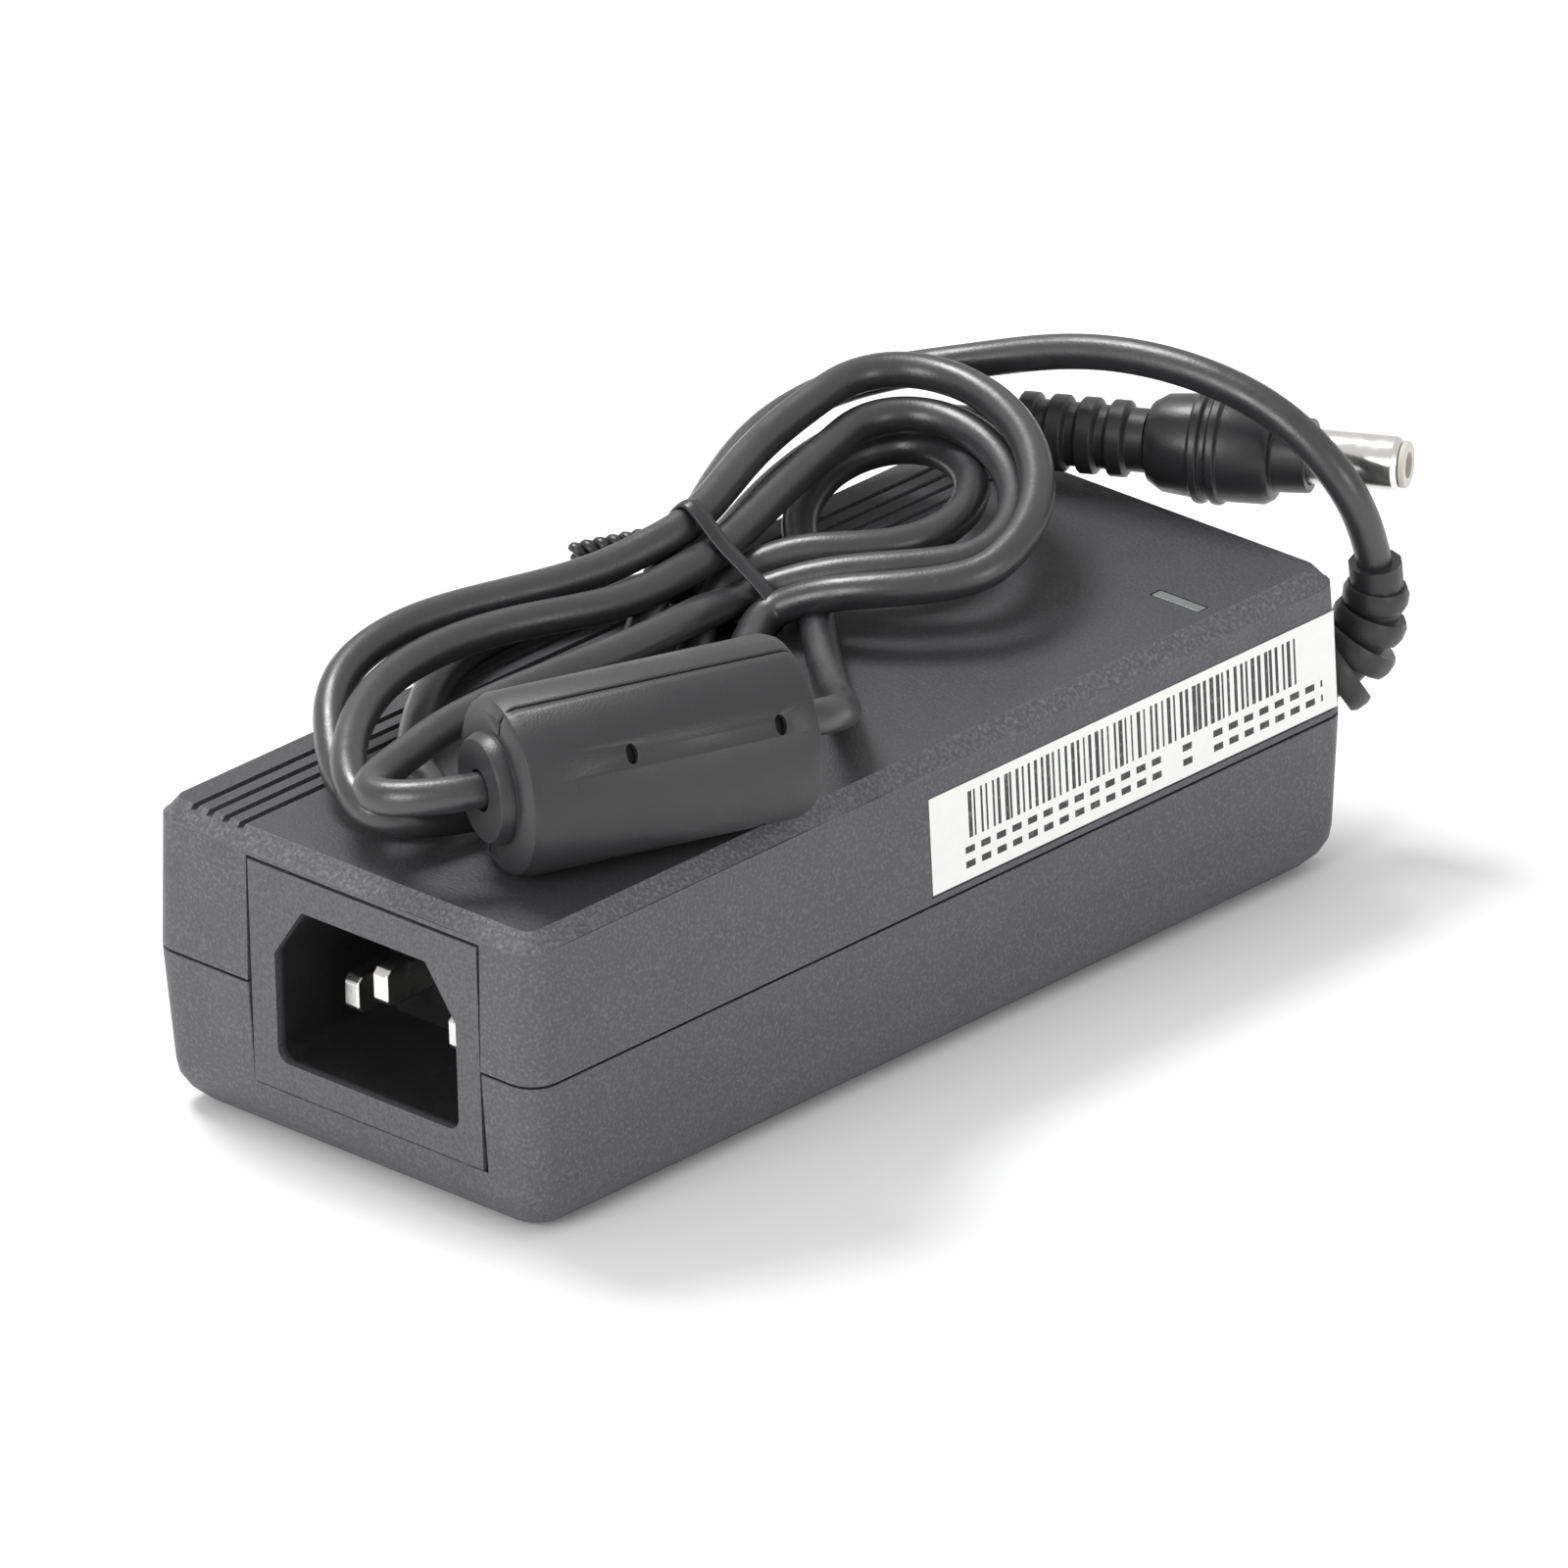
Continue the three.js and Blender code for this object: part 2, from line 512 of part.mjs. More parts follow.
function plugRelief() {
  const profile = [[0, 0]];
  for (let rib = 0; rib < 4; rib += 1) {
    const start = rib * 3.1;
    profile.push([3.2, start], [3.85, start + 0.4], [3.85, start + 1.9], [3.2, start + 2.3]);
  }
  profile.push([3.2, 13.4], [0, 13.4]);
  return laid(turned(profile, 24), PLUG.start, PLUG.yaw);
}

function plugBody() {
  const profile = [[0, 13.7], [4.0, 13.7], [4.9, 15.2], [5.2, 18.4], [5.7, 18.6], [5.7, 19.4], [5.3, 19.6],
    [5.3, 20.2], [5.7, 20.4], [5.7, 21.2], [5.3, 21.4], [5.2, 25.6], [4.7, 26.4], [3.9, 26.6], [3.7, 30.0],
    [2.85, 30.0], [2.85, 24.0], [0, 24.0]];
  return laid(turned(profile, 28), PLUG.start, PLUG.yaw);
}

function plugBarrel() {
  const profile = [[2.0, 24.3], [2.75, 24.3], [2.75, 38.6], [2.35, 39.1], [2.0, 39.1], [2.0, 24.3]];
  return laid(turned(profile, 28), PLUG.start, PLUG.yaw);
}

function plugInsulator() {
  const profile = [[1.3, 24.3], [1.9, 24.3], [1.9, 39.2], [2.4, 39.2], [2.3, 39.8], [1.3, 39.8], [1.3, 24.3]];
  return laid(turned(profile, 28), PLUG.start, PLUG.yaw);
}

function plugContact() {
  const profile = [[0.85, 24.3], [1.2, 24.3], [1.2, 38.6], [0.85, 38.6], [0.85, 24.3]];
  return laid(turned(profile, 20), PLUG.start, PLUG.yaw);
}

function cordTie() {
  const width = TIE.right - TIE.left;
  const height = TIE.high - TIE.low;
  const band = roundedRectangle(width, height, 4.2);
  band.holes.push(roundedRectangle(width - 2 * TIE.thick, height - 2 * TIE.thick, 3.2));
  const ring = extruded(band, TIE.width, 6).rotateX(Math.PI / 2);
  ring.translate((TIE.left + TIE.right) / 2, TIE.y + TIE.width / 2, (TIE.low + TIE.high) / 2);
  const parts = [ring];
  for (let twist = 0; twist < 5; twist += 1) {
    const knot = new THREE.IcosahedronGeometry(1.5, 1);
    parts.push(knot.translate(TIE.left - 0.6 - 0.75 * twist, TIE.y - 2.2 * twist, 37.8));
  }
  return joined(...parts);
}

// A bundle grown by the gap that the free lengths keep to it.
function grownBundle() {
  const bundle = cordBundle();
  bundle.computeBoundingBox();
  const centre = bundle.boundingBox.getCenter(new THREE.Vector3());
  const size = bundle.boundingBox.getSize(new THREE.Vector3());
  const grow = size.clone().addScalar(2 * CORD.gap).divide(size);
  bundle.translate(-centre.x, -centre.y, -centre.z).scale(grow.x, grow.y, grow.z);
  return bundle.translate(centre.x, centre.y, centre.z);
}

function buildCord() {
  const plugClearance = laid(turned([[0, -0.4], [4.2, -0.4], [4.2, 13.8], [0, 13.8]], 24), PLUG.start, PLUG.yaw);
  const clear = grownBundle();
  piece('strain_relief', strainRelief(), RUBBER);
  piece('cord_lead', cut(tube(LEAD_ROUTE, CORD.diameter, 12), clear, plugClearance.clone()), RUBBER);
  piece('cord_bundle', cut(cordBundle(), plugClearance), RUBBER);
  piece('cord_loop', cut(tube(LOOP_ROUTE, CORD.diameter, 6), clear), RUBBER);
  piece('cord_tail', cut(tube(TAIL_ROUTE, CORD.diameter, 6), clear), RUBBER);
  piece('cord_end', cut(tube(END_ROUTE, CORD.diameter, 6), clear), RUBBER);
  piece('ferrite_cover', ferriteCover(), BLACK);
  piece('ferrite_core', ferriteCore(), FERRITE_GREY);
  piece('plug_strain_relief', plugRelief(), RUBBER);
  piece('plug_body', plugBody(), BLACK);
  piece('plug_barrel', plugBarrel(), NICKEL);
  piece('plug_insulator', plugInsulator(), CLEAR);
  piece('plug_contact', plugContact(), TIN);
  piece('cord_tie', cordTie(), BLACK);
}

// ---------------------------------------------------------------- assembly
piece('lower_shell', lowerShell(), SHELL);
piece('upper_shell', upperShell(), SHELL);
piece('inlet_housing', inletHousing(), SHELL);
for (const [name, place] of Object.entries(bladePositions())) {
  piece(name, blade(place), NICKEL);
}
piece('side_label', labelBlock(LABEL.pocket - 0.03, 0, LABEL.thick + 0.03 - LABEL.pocket), PAPER);
piece('rating_label', block(RATING.width - 0.6, RATING.length - 0.6, RATING.thick, 0, 0,
  RATING.depth - 0.03 - RATING.thick / 2), PAPER);
piece('light_pipe', lightPipe(), CLEAR);
piece('insulation_sheet', insulationSheet(), BLACK);
buildCircuit();
buildWires();
buildCord();

export default adapter;
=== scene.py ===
"""Laptop power adapter: the finished surfaces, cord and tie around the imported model. Metres, +Z up."""
import math

import bmesh
import bpy
from mathutils import Matrix, Vector


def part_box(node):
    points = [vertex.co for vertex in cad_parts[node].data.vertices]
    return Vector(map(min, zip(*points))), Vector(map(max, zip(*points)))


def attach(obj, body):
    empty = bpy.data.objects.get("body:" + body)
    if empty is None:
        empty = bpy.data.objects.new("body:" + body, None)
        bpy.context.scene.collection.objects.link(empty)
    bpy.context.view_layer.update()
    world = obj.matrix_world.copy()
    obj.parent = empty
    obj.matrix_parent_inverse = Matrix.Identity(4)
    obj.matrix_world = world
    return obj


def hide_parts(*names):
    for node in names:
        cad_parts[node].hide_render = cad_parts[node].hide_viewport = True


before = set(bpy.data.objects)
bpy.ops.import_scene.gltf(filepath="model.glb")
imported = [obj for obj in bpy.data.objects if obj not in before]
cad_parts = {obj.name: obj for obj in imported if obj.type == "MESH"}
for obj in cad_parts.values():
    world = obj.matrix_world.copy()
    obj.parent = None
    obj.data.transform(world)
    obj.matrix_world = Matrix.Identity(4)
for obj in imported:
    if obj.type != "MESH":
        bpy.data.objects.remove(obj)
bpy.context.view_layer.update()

MM = 0.001

# ------------------------------------------------------------------ camera, floor and light
CAMERA = {"azimuth": 44.5, "elevation": 25.03, "roll": -1.68, "lens": 639.3, "distance": 2.714}
CAMERA_TARGET = Vector((0, 0, 16.64)) * MM
CAMERA_SLIDE = (2.84 * MM, 4.13 * MM)
FLOOR_SIZE = 6.0
SOFTBOXES = (
    # name, place, size, watts
    ("key_light", (-0.55, 0.10, 0.95), 0.42, 9.0),
    ("front_light", (0.10, -1.25, 0.60), 0.70, 8.0),
    ("side_light", (1.30, 0.10, 0.40), 0.60, 3.0),
)


def make_camera():
    azimuth = math.radians(CAMERA["azimuth"])
    elevation = math.radians(CAMERA["elevation"])
    roll = math.radians(CAMERA["roll"])
    back = Vector((math.sin(azimuth) * math.cos(elevation), -math.cos(azimuth) * math.cos(elevation),
                   math.sin(elevation)))
    level = Vector((math.cos(azimuth), math.sin(azimuth), 0))
    upright = back.cross(level)
    right = math.cos(roll) * level + math.sin(roll) * upright
    up = math.cos(roll) * upright - math.sin(roll) * level
    target = CAMERA_TARGET + CAMERA_SLIDE[0] * right + CAMERA_SLIDE[1] * up
    data = bpy.data.cameras.new("camera")
    data.lens = CAMERA["lens"]
    data.sensor_width = 36
    data.clip_start = 0.05
    data.clip_end = 20
    camera = bpy.data.objects.new("camera", data)
    rotation = Matrix((right, up, back)).transposed().to_4x4()
    camera.matrix_world = Matrix.Translation(target + CAMERA["distance"] * back) @ rotation
    bpy.context.scene.collection.objects.link(camera)
    bpy.context.scene.camera = camera


def make_light(name, place, size, watts):
    data = bpy.data.lights.new(name, "AREA")
    data.shape = "DISK"
    data.size = size
    data.energy = watts
    light = bpy.data.objects.new(name, data)
    light.location = place
    light.rotation_euler = (-Vector(place)).to_track_quat("-Z", "Y").to_euler()
    bpy.context.scene.collection.objects.link(light)


def make_studio():
    world = bpy.data.worlds.new("studio")
    bpy.context.scene.world = world
    world.use_nodes = True
    background = world.node_tree.nodes["Background"]
    background.inputs["Color"].default_value = (1, 1, 1, 1)
    background.inputs["Strength"].default_value = 0.72
    for softbox in SOFTBOXES:
        make_light(*softbox)
    bpy.context.scene.view_settings.view_transform = "Standard"
    half = FLOOR_SIZE / 2
    corners = [(-half, -half, 0), (half, -half, 0), (half, half, 0), (-half, half, 0)]
    mesh = bpy.data.meshes.new("floor")
    mesh.from_pydata(corners, [], [(0, 1, 2, 3)])
    floor = bpy.data.objects.new("floor", mesh)
    bpy.context.scene.collection.objects.link(floor)
    white = Finish("floor_white")
    white.colour(white.mix(white.noise(8), (0.86, 0.86, 0.86), (0.89, 0.89, 0.89)))
    white.roughness(0.9)
    mesh.materials.append(white.material)


# ------------------------------------------------------------------ materials
class Finish:
    """One material's nodes, with a short call for each kind that the finishes share."""

    def __init__(self, name):
        self.material = bpy.data.materials.new(name)
        self.material.use_nodes = True
        self.nodes = self.material.node_tree.nodes
        self.links = self.material.node_tree.links
        self.shader = self.nodes["Principled BSDF"]
        self.where = self.nodes.new("ShaderNodeTexCoord").outputs["Object"]

    def put(self, socket, value):
        if isinstance(value, bpy.types.NodeSocket):
            self.links.new(value, socket)
        elif isinstance(value, tuple) and len(value) == 3 and socket.type == "RGBA":
            socket.default_value = (*value, 1)
        else:
            socket.default_value = value

    def noise(self, per_metre, detail=2, stretch=(1, 1, 1)):
        mapping = self.nodes.new("ShaderNodeMapping")
        mapping.inputs["Scale"].default_value = stretch
        self.links.new(self.where, mapping.inputs["Vector"])
        noise = self.nodes.new("ShaderNodeTexNoise")
        noise.inputs["Scale"].default_value = per_metre
        noise.inputs["Detail"].default_value = detail
        self.links.new(mapping.outputs["Vector"], noise.inputs["Vector"])
        return noise.outputs["Fac"]

    def math(self, operation, first, second=0.0):
        node = self.nodes.new("ShaderNodeMath")
        node.operation = operation
        self.put(node.inputs[0], first)
        self.put(node.inputs[1], second)
        return node.outputs[0]

    def axes(self, vector=None):
        """The three numbers of a vector: of the place on the object, unless another is given."""
        node = self.nodes.new("ShaderNodeSeparateXYZ")
        self.links.new(vector or self.where, node.inputs[0])
        return node.outputs

    def ramp(self, value, from_low, from_high, to_low, to_high):
        node = self.nodes.new("ShaderNodeMapRange")
        self.put(node.inputs["Value"], value)
        for name, number in (("From Min", from_low), ("From Max", from_high), ("To Min", to_low),
                             ("To Max", to_high)):
            self.put(node.inputs[name], number)
        return node.outputs[0]

    def mix(self, factor, first, second):
        node = self.nodes.new("ShaderNodeMix")
        node.data_type = "RGBA"
        self.put(node.inputs[0], factor)
        self.put(node.inputs[6], first)
        self.put(node.inputs[7], second)
        return node.outputs[2]

    def within(self, value, low, high):
        """1 where the value lies between low and high, else 0."""
        above = self.math("GREATER_THAN", value, low)
        return self.math("MULTIPLY", above, self.math("LESS_THAN", value, high))

    def bump(self, height, depth, normal=None):
        node = self.nodes.new("ShaderNodeBump")
        node.inputs["Strength"].default_value = 1
        node.inputs["Distance"].default_value = depth
        self.put(node.inputs["Height"], height)
        if normal is not None:
            self.put(node.inputs["Normal"], normal)
        return node.outputs[0]

    def edges(self, radius):
        """About 0 on flat stretches and up to 1 along edges."""
        bevel = self.nodes.new("ShaderNodeBevel")
        bevel.inputs["Radius"].default_value = radius
        geometry = self.nodes.new("ShaderNodeNewGeometry")
        dot = self.nodes.new("ShaderNodeVectorMath")
        dot.operation = "DOT_PRODUCT"
        self.links.new(bevel.outputs[0], dot.inputs[0])
        self.links.new(geometry.outputs["Normal"], dot.inputs[1])
        return self.ramp(dot.outputs["Value"], 0.995, 0.8, 0.0, 1.0)

    def facing_up(self):
        geometry = self.nodes.new("ShaderNodeNewGeometry")
        return self.axes(geometry.outputs["Normal"])[2]

    def colour(self, value):
        self.put(self.shader.inputs["Base Color"], value)

    def roughness(self, value):
        self.put(self.shader.inputs["Roughness"], value)

    def normal(self, value):
        self.put(self.shader.inputs["Normal"], value)

    def constant(self, name, value):
        self.shader.inputs[name].default_value = value


def shade(colour, factor):
    return tuple(channel * factor for channel in colour)


def moulding(name, colour, roughness, grain, depth, variation=0.1, wear=0.0):
    """Moulded plastic: a fine grain, uneven gloss and, along its edges, a little wear."""
    finish = Finish(name)
    cloud = finish.noise(70, 4)
    tint = finish.mix(cloud, shade(colour, 1 - variation), shade(colour, 1 + variation))
    speckle = finish.noise(1 / grain, 3)
    tint = finish.mix(finish.ramp(speckle, 0.62, 0.8, 0.0, 0.35), tint, shade(colour, 1.5))
    gloss = finish.ramp(finish.noise(260, 3), 0.3, 0.7, roughness - 0.06, roughness + 0.06)
    if wear:
        rub = finish.math("MULTIPLY", finish.edges(0.35 * MM), wear)
        rub = finish.math("MULTIPLY", rub, finish.ramp(finish.noise(420, 3), 0.35, 0.65, 0.3, 1.0))
        tint = finish.mix(rub, tint, shade(colour, 2.4))
    finish.colour(tint)
    finish.roughness(gloss)
    swell = finish.bump(finish.noise(120, 2), depth * 1.5)
    finish.normal(finish.bump(speckle, depth, swell))
    return finish.material


def shell_plastic():
    """The case: fine grain on its faces, a top darkened with painted shade, and a coarser, spark-eroded
    grain on the chamfer that carries painted glints.
    """
    colour = (0.090, 0.090, 0.097)
    finish = Finish("shell_plastic_finish")
    up = finish.facing_up()
    # Mask of the faces that point up, used for the painted shade on the top.
    top = finish.ramp(up, 0.96, 0.99, 0.0, 1.0)
    leaning = finish.ramp(up, 0.25, 0.5, 0.0, 1.0)
    chamfer = finish.math("MULTIPLY", leaning, finish.ramp(up, 0.97, 0.9, 0.0, 1.0))
    fine = finish.noise(3000, 4)
    coarse = finish.noise(2400, 3)
    cloud = finish.noise(45, 4)
    tint = finish.mix(cloud, shade(colour, 0.93), shade(colour, 1.07))
    tint = finish.mix(finish.ramp(fine, 0.35, 0.65, 0.0, 1.0), shade(colour, 0.78), tint)
    tint = finish.mix(finish.ramp(fine, 0.52, 0.72, 0.0, 0.7), tint, shade(colour, 1.6))
    # Faces that point up are darkened here: painted shade on the top of the case.
    tint = finish.mix(finish.math("MULTIPLY", top, 0.62), tint, shade(colour, 0.25))
    # Bright specks on the chamfer's coarse grain: the grain is real, the brightening is a painted glint.
    chamfer_glint_paint = finish.math("MULTIPLY", chamfer, finish.ramp(coarse, 0.48, 0.72, 0.0, 0.55))
    tint = finish.mix(chamfer_glint_paint, tint, shade(colour, 2.3))
    patches = finish.ramp(finish.noise(300, 3), 0.35, 0.7, 0.05, 0.4)
    rub = finish.math("MULTIPLY", finish.edges(0.3 * MM), patches)
    tint = finish.mix(rub, tint, shade(colour, 2.2))
    finish.colour(tint)
    finish.roughness(finish.ramp(finish.noise(200, 3), 0.3, 0.7, 0.46, 0.58))
    finish.constant("Specular IOR Level", 0.45)
    grain = finish.bump(fine, 0.07 * MM)
    sparks = finish.math("MULTIPLY", chamfer, coarse)
    finish.normal(finish.bump(sparks, 0.10 * MM, grain))
    return finish.material


def inlet_moulding(low, high):
    """The inlet: its frame is grained like the case, and the walls of its socket are painted near-black as
    shade in the recess.
    """
    finish = Finish("inlet_moulding_finish")
    depth = finish.math("SUBTRACT", finish.axes()[1], low.y)
    # Mask of the socket's walls, deeper than the frame, which take a painted shade instead of the case's
    # grey.
    socket = finish.ramp(depth, 0.5 * MM, 1.2 * MM, 0.0, 1.0)
    grain = finish.noise(3000, 4)
    speckle = finish.ramp(grain, 0.35, 0.7, 0.0, 1.0)
    frame_tint = finish.mix(speckle, (0.060, 0.060, 0.064), (0.105, 0.105, 0.112))
    # The socket's near-black tint is painted shade, not a different plastic.
    socket_shade_tint = finish.mix(finish.noise(200, 3), (0.012, 0.012, 0.013), (0.018, 0.018, 0.019))
    finish.colour(finish.mix(socket, frame_tint, socket_shade_tint))
    finish.roughness(finish.ramp(finish.noise(240, 3), 0.3, 0.7, 0.44, 0.56))
    finish.normal(finish.bump(grain, 0.05 * MM))
    return finish.material


def metal(name, colour, roughness, lines=False):
    """Plated or drawn metal, with faint stains and either fine lengthwise lines or small pits."""
    finish = Finish(name)
    stain = finish.noise(160, 4)
    finish.colour(finish.mix(finish.ramp(stain, 0.45, 0.75, 0.0, 0.6), colour, shade(colour, 0.8)))
    finish.roughness(finish.ramp(finish.noise(700, 3), 0.3, 0.7, roughness - 0.05, roughness + 0.08))
    finish.constant("Metallic", 1.0)
    drawn = finish.noise(2600, 2, (1, 0.04, 1)) if lines else finish.noise(2200, 2)
    finish.normal(finish.bump(drawn, 0.006 * MM))
    return finish.material


def cord_jacket():
    """The cord's soft jacket, satin, with the faint waviness of an extruded skin."""
    colour = (0.022, 0.022, 0.024)
    finish = Finish("cord_jacket_finish")
    cloud = finish.noise(90, 4)
    dust = finish.ramp(finish.noise(1500, 4), 0.60, 0.82, 0.0, 0.3)
    tint = finish.mix(cloud, shade(colour, 0.8), shade(colour, 1.25))
    finish.colour(finish.mix(dust, tint, shade(colour, 4.0)))
    finish.roughness(finish.ramp(finish.noise(420, 3), 0.3, 0.7, 0.30, 0.42))
    finish.constant("Specular IOR Level", 0.85)
    waves = finish.bump(finish.noise(320, 2), 0.05 * MM)
    finish.normal(finish.bump(finish.noise(3200, 3), 0.022 * MM, waves))
    return finish.material


# The side label's printing: margin and pitch in millimetres, bottom and top as parts of its height.
BARS = {"margin": 5.2, "pitch": 0.86, "bottom": 0.42, "top": 0.90}
MARKS = {"margin": 2.0, "pitch": 2.2, "bottom": 0.12, "top": 0.34}


def label_print(low, high):
    """White paper with a row of plain bars, and under it a row of short plain marks."""
    finish = Finish("printed_label_finish")
    along, up = finish.axes()[1], finish.axes()[2]
    length = high.y - low.y
    height = high.z - low.z
    level = finish.math("DIVIDE", finish.math("SUBTRACT", up, low.z), height)
    along = finish.math("SUBTRACT", along, low.y)

    def drawn(pitch, seed):
        """A number from 0 to 1 for each step of the pitch, always the same."""
        cell = finish.math("FLOOR", finish.math("DIVIDE", along, pitch))
        random = finish.nodes.new("ShaderNodeTexWhiteNoise")
        random.noise_dimensions = "1D"
        finish.put(random.inputs["W"], finish.math("ADD", cell, seed))
        return random.outputs["Value"]

    margin = BARS["margin"] * MM
    pitch = BARS["pitch"] * MM
    step = finish.math("FRACT", finish.math("DIVIDE", along, pitch))
    begin = finish.math("MULTIPLY", drawn(pitch, 7.0), 0.28)
    end = finish.math("ADD", begin, finish.ramp(drawn(pitch, 31.0), 0, 1, 0.25, 0.68))
    bars = finish.within(step, begin, end)
    bars = finish.math("MULTIPLY", bars, finish.within(along, margin, length - margin))
    bars = finish.math("MULTIPLY", bars, finish.within(level, BARS["bottom"], BARS["top"]))
    margin = MARKS["margin"] * MM
    pitch = MARKS["pitch"] * MM
    step = finish.math("FRACT", finish.math("DIVIDE", along, pitch))
    present = finish.math("GREATER_THAN", drawn(pitch, 3.0), 0.08)
    marks = finish.math("MULTIPLY", present, finish.within(step, 0.15, 0.75))
    marks = finish.math("MULTIPLY", marks, finish.within(along, margin, length - margin))
    middle = finish.within(level, MARKS["bottom"] + 0.07, MARKS["top"] - 0.07)
    rows = finish.math("SUBTRACT", finish.within(level, MARKS["bottom"], MARKS["top"]), middle)
    marks = finish.math("MULTIPLY", marks, rows)
    printed = finish.math("MAXIMUM", bars, marks)
    paper = finish.mix(finish.noise(500, 4), (0.80, 0.80, 0.79), (0.88, 0.88, 0.87))
    faded = finish.math("MULTIPLY", printed, finish.ramp(finish.noise(1800, 3), 0.25, 0.45, 0.85, 1.0))
    finish.colour(finish.mix(faded, paper, (0.028, 0.028, 0.03)))
    finish.roughness(finish.ramp(finish.noise(250, 2), 0.3, 0.7, 0.4, 0.5))
    finish.normal(finish.bump(finish.noise(1200, 3), 0.01 * MM))
    return finish.material


def rating_print(low, high):
    """A satin film with a thin frame and plain panels, with nothing written in them."""
    finish = Finish("rating_film_finish")
    axes = finish.axes()
    across = finish.math("DIVIDE", finish.math("SUBTRACT", axes[0], low.x), high.x - low.x)
    along = finish.math("DIVIDE", finish.math("SUBTRACT", axes[1], low.y), high.y - low.y)
    outer = finish.math("MULTIPLY", finish.within(across, 0.05, 0.95), finish.within(along, 0.03, 0.97))
    inner = finish.math("MULTIPLY", finish.within(across, 0.07, 0.93), finish.within(along, 0.038, 0.962))
    printed = finish.math("SUBTRACT", outer, inner)
    for start, end in ((0.10, 0.22), (0.30, 0.34), (0.38, 0.42), (0.46, 0.50), (0.60, 0.64), (0.74, 0.90)):
        panel = finish.math("MULTIPLY", finish.within(along, start, end), finish.within(across, 0.14, 0.80))
        printed = finish.math("MAXIMUM", printed, panel)
    film = finish.mix(finish.noise(300, 3), (0.05, 0.05, 0.055), (0.065, 0.065, 0.07))
    finish.colour(finish.mix(printed, film, (0.42, 0.42, 0.42)))
    finish.roughness(finish.ramp(finish.noise(300, 3), 0.3, 0.7, 0.3, 0.42))
    finish.normal(finish.bump(finish.noise(900, 2), 0.008 * MM))
    return finish.material


def clear_plastic():
    finish = Finish("clear_plastic_finish")
    finish.colour(finish.mix(finish.noise(400, 2), (0.16, 0.165, 0.165), (0.20, 0.205, 0.205)))
    finish.roughness(finish.ramp(finish.noise(900, 2), 0.3, 0.7, 0.14, 0.26))
    finish.constant("Transmission Weight", 0.15)
    finish.constant("IOR", 1.49)
    finish.normal(finish.bump(finish.noise(1500, 2), 0.01 * MM))
    return finish.material


def fibreglass():
    """Circuit board: green lacquer over a weave that shows as faint squares."""
    finish = Finish("fibreglass_finish")
    axes = finish.axes()
    weave = finish.math("MULTIPLY", finish.math("SINE", finish.math("MULTIPLY", axes[0], 5200)),
                        finish.math("SINE", finish.math("MULTIPLY", axes[1], 5200)))
    green = (0.025, 0.13, 0.05)
    finish.colour(finish.mix(finish.ramp(weave, -1, 1, 0, 1), shade(green, 0.85), shade(green, 1.2)))
    finish.roughness(finish.ramp(finish.noise(300, 3), 0.3, 0.7, 0.3, 0.4))
    finish.normal(finish.bump(weave, 0.01 * MM))
    return finish.material


def wound_wire(name, colour):
    """Turns of wire or tape, seen as fine ridges up the winding, with painted shade in the grooves between
    them.
    """
    finish = Finish(name)
    up = finish.axes()[2]
    ridge = finish.math("ABSOLUTE", finish.math("SINE", finish.math("MULTIPLY", up, 5200)))
    # Between the ridges the colour falls to about a third: painted shade in the grooves.
    finish.colour(finish.mix(ridge, shade(colour, 0.35), colour))
    finish.roughness(finish.ramp(finish.noise(600, 2), 0.3, 0.7, 0.3, 0.45))
    finish.normal(finish.bump(ridge, 0.12 * MM))
    return finish.material


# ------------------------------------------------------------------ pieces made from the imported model
def add_piece(name, mesh, material):
    piece = bpy.data.objects.new(name, mesh)
    bpy.context.scene.collection.objects.link(piece)
    mesh.materials.clear()
    mesh.materials.append(material)
    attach(piece, "root")
    return piece


def carved(piece, cutters):
    """Cuts the bodies in the cutters mesh, which may overlap each other, out of a piece."""
    tool = bpy.data.objects.new("cutters", cutters)
    bpy.context.scene.collection.objects.link(tool)
    carve = piece.modifiers.new("carve", "BOOLEAN")
    carve.operation = "DIFFERENCE"
    carve.solver = "EXACT"
    carve.use_self = True
    carve.object = tool
    graph = bpy.context.evaluated_depsgraph_get()
    mesh = bpy.data.meshes.new_from_object(piece.evaluated_get(graph))
    piece.modifiers.clear()
    piece.data = mesh
    bpy.data.objects.remove(tool)
    bpy.data.meshes.remove(cutters)


def refined(node, material, bevel=0.2 * MM, smooth=38, segments=2, cutters=None):
    """A finished copy of a CAD node: clean faces, rounded edges and smooth curved stretches."""
    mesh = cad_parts[node].data.copy()
    mesh.name = node + "_finished"
    work = bmesh.new()
    work.from_mesh(mesh)
    bmesh.ops.remove_doubles(work, verts=work.verts, dist=0.0005 * MM)
    bmesh.ops.dissolve_limit(work, angle_limit=math.radians(0.6), verts=work.verts, edges=work.edges)
    limit = math.radians(smooth)
    for face in work.faces:
        face.smooth = True
    for edge in work.edges:
        edge.smooth = len(edge.link_faces) == 2 and edge.calc_face_angle(0) < limit
    work.to_mesh(mesh)
    work.free()
    piece = add_piece(node + "_finished", mesh, material)
    if cutters:
        carved(piece, cutters)
    if bevel:
        rounding = piece.modifiers.new("rounding", "BEVEL")
        rounding.width = bevel
        rounding.segments = segments
        rounding.limit_method = "ANGLE"
        rounding.angle_limit = limit
        rounding.use_clamp_overlap = True
        rounding.harden_normals = True
    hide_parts(node)
    return piece


def finish_node(node, material):
    """A CAD node whose shape is right: it stays, and takes a finish."""
    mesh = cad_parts[node].data
    mesh.materials.clear()
    mesh.materials.append(material)


# ------------------------------------------------------------------ cord
CORD_DIAMETER = 3.6 * MM
# How many rounds of averaging take the sharpest bends out of the route.
EASING = 30
